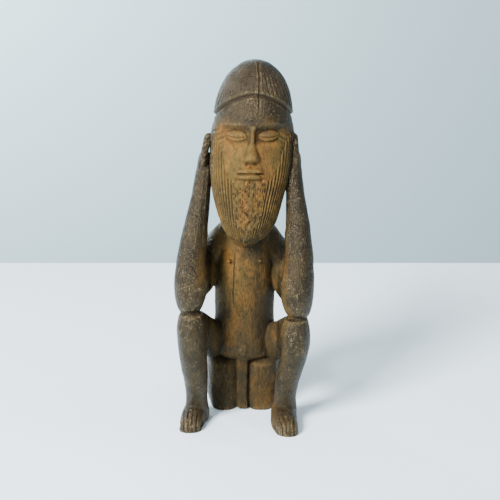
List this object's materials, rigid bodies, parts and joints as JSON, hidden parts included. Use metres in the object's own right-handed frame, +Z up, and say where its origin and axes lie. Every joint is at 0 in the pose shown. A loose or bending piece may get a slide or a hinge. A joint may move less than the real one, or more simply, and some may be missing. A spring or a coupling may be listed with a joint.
{
  "type": "miniature figure",
  "caption": "Carved wooden figure of a bearded man in a close cap, squatting with elbows on knees and hands held to the sides of his head.",
  "frame": {"origin": "middle of the footprint, on the surface that the figure stands on", "axes": "+Z up, along the figure's height; the figure faces -Y and +X is to its left"},
  "size_m": [0.0839, 0.0781, 0.2199],
  "materials": {
    "carved_wood": "hand carved, dark worn patina, waxed sheen on the limbs, dry and pitted on the beard"
  },
  "bodies": {
    "root": {"squatting_figure": "carved_wood"}
  },
  "joints": []
}
